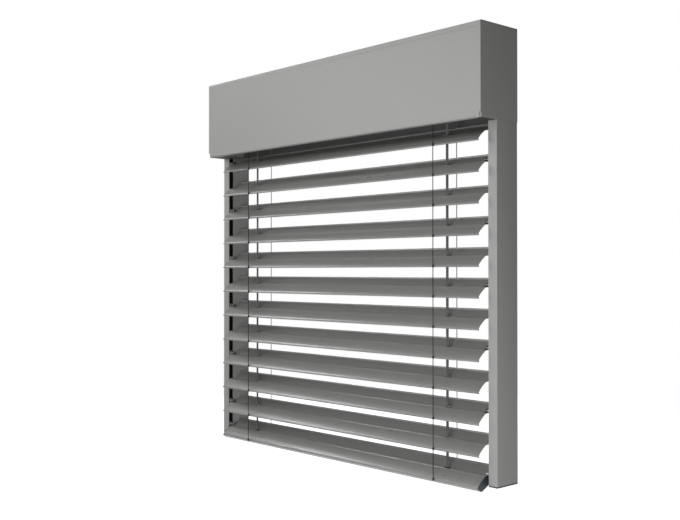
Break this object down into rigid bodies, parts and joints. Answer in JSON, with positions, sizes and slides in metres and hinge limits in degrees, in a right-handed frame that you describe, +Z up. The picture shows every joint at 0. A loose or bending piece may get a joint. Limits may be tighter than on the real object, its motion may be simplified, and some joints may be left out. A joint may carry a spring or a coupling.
{
  "type": "external venetian blind",
  "caption": "Motorised external venetian blind: box hood over two guide rails, tilting and lifting slats on tapes and ladder cords, closed bottom rail.",
  "frame": {"origin": "middle of the hood's back face, on the wall plane", "axes": "+Y points into the wall, so the front faces -Y; +Z is up; +X is to the right as seen from the front"},
  "size_m": [1, 0.127, 1.0098],
  "materials": {
    "powder_grey": "fine-structure powder coat, satin",
    "slat_grey": "stove-enamelled aluminium strip, satin",
    "cap_plastic": "moulded, dark blue-grey",
    "black_plastic": "moulded, matte black",
    "white_plastic": "moulded, off-white",
    "tape_fabric": "woven polyester tape",
    "front_cord": "braided polyester cord",
    "rear_cord": "braided polyester cord",
    "zinc_steel": "zinc-plated",
    "motor_black": "black paint"
  },
  "bodies": {
    "base": {"hood_top_panel": "powder_grey", "hood_front_cover": "powder_grey", "hood_end_cap_left": "powder_grey", "hood_end_cap_right": "powder_grey", "hood_back_panel": "powder_grey", "guide_rail_left": "powder_grey", "guide_rail_right": "powder_grey", "head_rail": "zinc_steel", "head_rail_bracket_left": "zinc_steel", "head_rail_bracket_right": "zinc_steel", "motor_housing": "motor_black", "spool_housing_left": "black_plastic", "spool_housing_right": "black_plastic", "channel_liner_left": "black_plastic", "channel_liner_right": "black_plastic", "motor_socket": "white_plastic", "motor_head_left": "white_plastic", "motor_head_right": "white_plastic", "rail_foot_cap_left": "cap_plastic", "rail_foot_cap_right": "cap_plastic", "lift_tape_left": "tape_fabric", "lift_tape_right": "tape_fabric"},
    "drive_line": {"drive_shaft_left": "zinc_steel", "drive_shaft_right": "zinc_steel", "tape_spool_left": "white_plastic", "tape_spool_right": "white_plastic"},
    "tilt_drums": {"tilt_drum_left": "black_plastic", "tilt_drum_right": "black_plastic"},
    "bottom_carriage": {"bottom_shoe_left": "white_plastic", "bottom_shoe_right": "white_plastic"},
    "bottom_bar": {"bottom_rail": "slat_grey", "bottom_rail_cap_left": "cap_plastic", "bottom_rail_cap_right": "cap_plastic"},
    "carriage_01": {"guide_shoe_01": "white_plastic"},
    "blade_01": {"slat_01": "slat_grey"},
    "carriage_02": {"guide_shoe_02": "white_plastic"},
    "blade_02": {"slat_02": "slat_grey"},
    "carriage_03": {"guide_shoe_03": "white_plastic"},
    "blade_03": {"slat_03": "slat_grey"},
    "carriage_04": {"guide_shoe_04": "white_plastic"},
    "blade_04": {"slat_04": "slat_grey"},
    "carriage_05": {"guide_shoe_05": "white_plastic"},
    "blade_05": {"slat_05": "slat_grey"},
    "carriage_06": {"guide_shoe_06": "white_plastic"},
    "blade_06": {"slat_06": "slat_grey"},
    "carriage_07": {"guide_shoe_07": "white_plastic"},
    "blade_07": {"slat_07": "slat_grey"},
    "carriage_08": {"guide_shoe_08": "white_plastic"},
    "blade_08": {"slat_08": "slat_grey"},
    "carriage_09": {"guide_shoe_09": "white_plastic"},
    "blade_09": {"slat_09": "slat_grey"},
    "carriage_10": {"guide_shoe_10": "white_plastic"},
    "blade_10": {"slat_10": "slat_grey"},
    "carriage_11": {"guide_shoe_11": "white_plastic"},
    "blade_11": {"slat_11": "slat_grey"},
    "ladder_front": {"ladder_front_left": "front_cord", "ladder_front_right": "front_cord"},
    "ladder_rear": {"ladder_rear_left": "rear_cord", "ladder_rear_right": "rear_cord"}
  },
  "joints": [
    {"name": "lift", "type": "slide", "parent": "base", "child": "bottom_carriage", "axis": [0, 0, 1], "range_m": [0, 0.74462], "deforming": ["lift_tape_left", "lift_tape_right", "ladder_front_left", "ladder_front_right", "ladder_rear_left", "ladder_rear_right"]},
    {"name": "tilt", "type": "hinge", "parent": "bottom_carriage", "child": "bottom_bar", "pos_m": [0, -0.0645, -0.87052], "axis": [1, 0, 0], "range_deg": [-37, 25], "deforming": ["lift_tape_left", "lift_tape_right", "ladder_front_left", "ladder_front_right", "ladder_rear_left", "ladder_rear_right"]},
    {"name": "lift_01", "type": "slide", "parent": "base", "child": "carriage_01", "axis": [0, 0, 1], "range_m": [0, 0.1351]},
    {"name": "tilt_01", "type": "hinge", "parent": "carriage_01", "child": "blade_01", "pos_m": [0, -0.0645, -0.1179], "axis": [1, 0, 0], "range_deg": [-37, 25]},
    {"name": "lift_02", "type": "slide", "parent": "base", "child": "carriage_02", "axis": [0, 0, 1], "range_m": [0, 0.19052]},
    {"name": "tilt_02", "type": "hinge", "parent": "carriage_02", "child": "blade_02", "pos_m": [0, -0.0645, -0.18632], "axis": [1, 0, 0], "range_deg": [-37, 25]},
    {"name": "lift_03", "type": "slide", "parent": "base", "child": "carriage_03", "axis": [0, 0, 1], "range_m": [0, 0.24594]},
    {"name": "tilt_03", "type": "hinge", "parent": "carriage_03", "child": "blade_03", "pos_m": [0, -0.0645, -0.25474], "axis": [1, 0, 0], "range_deg": [-37, 25]},
    {"name": "lift_04", "type": "slide", "parent": "base", "child": "carriage_04", "axis": [0, 0, 1], "range_m": [0, 0.30136]},
    {"name": "tilt_04", "type": "hinge", "parent": "carriage_04", "child": "blade_04", "pos_m": [0, -0.0645, -0.32316], "axis": [1, 0, 0], "range_deg": [-37, 25]},
    {"name": "lift_05", "type": "slide", "parent": "base", "child": "carriage_05", "axis": [0, 0, 1], "range_m": [0, 0.35678]},
    {"name": "tilt_05", "type": "hinge", "parent": "carriage_05", "child": "blade_05", "pos_m": [0, -0.0645, -0.39158], "axis": [1, 0, 0], "range_deg": [-37, 25]},
    {"name": "lift_06", "type": "slide", "parent": "base", "child": "carriage_06", "axis": [0, 0, 1], "range_m": [0, 0.4122]},
    {"name": "tilt_06", "type": "hinge", "parent": "carriage_06", "child": "blade_06", "pos_m": [0, -0.0645, -0.46], "axis": [1, 0, 0], "range_deg": [-37, 25]},
    {"name": "lift_07", "type": "slide", "parent": "base", "child": "carriage_07", "axis": [0, 0, 1], "range_m": [0, 0.46762]},
    {"name": "tilt_07", "type": "hinge", "parent": "carriage_07", "child": "blade_07", "pos_m": [0, -0.0645, -0.52842], "axis": [1, 0, 0], "range_deg": [-37, 25]},
    {"name": "lift_08", "type": "slide", "parent": "base", "child": "carriage_08", "axis": [0, 0, 1], "range_m": [0, 0.52304]},
    {"name": "tilt_08", "type": "hinge", "parent": "carriage_08", "child": "blade_08", "pos_m": [0, -0.0645, -0.59684], "axis": [1, 0, 0], "range_deg": [-37, 25]},
    {"name": "lift_09", "type": "slide", "parent": "base", "child": "carriage_09", "axis": [0, 0, 1], "range_m": [0, 0.57846]},
    {"name": "tilt_09", "type": "hinge", "parent": "carriage_09", "child": "blade_09", "pos_m": [0, -0.0645, -0.66526], "axis": [1, 0, 0], "range_deg": [-37, 25]},
    {"name": "lift_10", "type": "slide", "parent": "base", "child": "carriage_10", "axis": [0, 0, 1], "range_m": [0, 0.63388]},
    {"name": "tilt_10", "type": "hinge", "parent": "carriage_10", "child": "blade_10", "pos_m": [0, -0.0645, -0.73368], "axis": [1, 0, 0], "range_deg": [-37, 25]},
    {"name": "lift_11", "type": "slide", "parent": "base", "child": "carriage_11", "axis": [0, 0, 1], "range_m": [0, 0.6893]},
    {"name": "tilt_11", "type": "hinge", "parent": "carriage_11", "child": "blade_11", "pos_m": [0, -0.0645, -0.8021], "axis": [1, 0, 0], "range_deg": [-37, 25]},
    {"name": "shaft_turn", "type": "hinge", "parent": "base", "child": "drive_line", "pos_m": [0, -0.0525, 0.0725], "axis": [1, 0, 0], "range_deg": [-3557, 0]},
    {"name": "drum_turn", "type": "hinge", "parent": "base", "child": "tilt_drums", "pos_m": [0, -0.0525, 0.0725], "axis": [1, 0, 0], "range_deg": [-81.5, 55.1]},
    {"name": "ladder_front_swing", "type": "slide", "parent": "base", "child": "ladder_front", "axis": [0, 0.5667, -0.8239], "range_m": [-0.02596, 0.01758], "deforming": ["ladder_front_left", "ladder_front_right"]},
    {"name": "ladder_rear_swing", "type": "slide", "parent": "base", "child": "ladder_rear", "axis": [0, -0.3464, 0.9381], "range_m": [-0.018, 0.01219], "deforming": ["ladder_rear_left", "ladder_rear_right"]}
  ],
  "couplings": [
    {"joint": "lift_01", "follows": "lift", "ratio": 0.1813},
    {"joint": "tilt_01", "follows": "tilt", "ratio": 1},
    {"joint": "lift_02", "follows": "lift", "ratio": 0.25573},
    {"joint": "tilt_02", "follows": "tilt", "ratio": 1},
    {"joint": "lift_03", "follows": "lift", "ratio": 0.33015},
    {"joint": "tilt_03", "follows": "tilt", "ratio": 1},
    {"joint": "lift_04", "follows": "lift", "ratio": 0.40458},
    {"joint": "tilt_04", "follows": "tilt", "ratio": 1},
    {"joint": "lift_05", "follows": "lift", "ratio": 0.47901},
    {"joint": "tilt_05", "follows": "tilt", "ratio": 1},
    {"joint": "lift_06", "follows": "lift", "ratio": 0.55344},
    {"joint": "tilt_06", "follows": "tilt", "ratio": 1},
    {"joint": "lift_07", "follows": "lift", "ratio": 0.62786},
    {"joint": "tilt_07", "follows": "tilt", "ratio": 1},
    {"joint": "lift_08", "follows": "lift", "ratio": 0.70229},
    {"joint": "tilt_08", "follows": "tilt", "ratio": 1},
    {"joint": "lift_09", "follows": "lift", "ratio": 0.77672},
    {"joint": "tilt_09", "follows": "tilt", "ratio": 1},
    {"joint": "lift_10", "follows": "lift", "ratio": 0.85115},
    {"joint": "tilt_10", "follows": "tilt", "ratio": 1},
    {"joint": "lift_11", "follows": "lift", "ratio": 0.92557},
    {"joint": "tilt_11", "follows": "tilt", "ratio": 1},
    {"joint": "shaft_turn", "follows": "lift", "rad_per_m": -83.333},
    {"joint": "drum_turn", "follows": "tilt", "ratio": 2.2},
    {"joint": "ladder_front_swing", "follows": "tilt", "m_per_rad": 0.040054},
    {"joint": "ladder_rear_swing", "follows": "tilt", "m_per_rad": 0.027716}
  ]
}
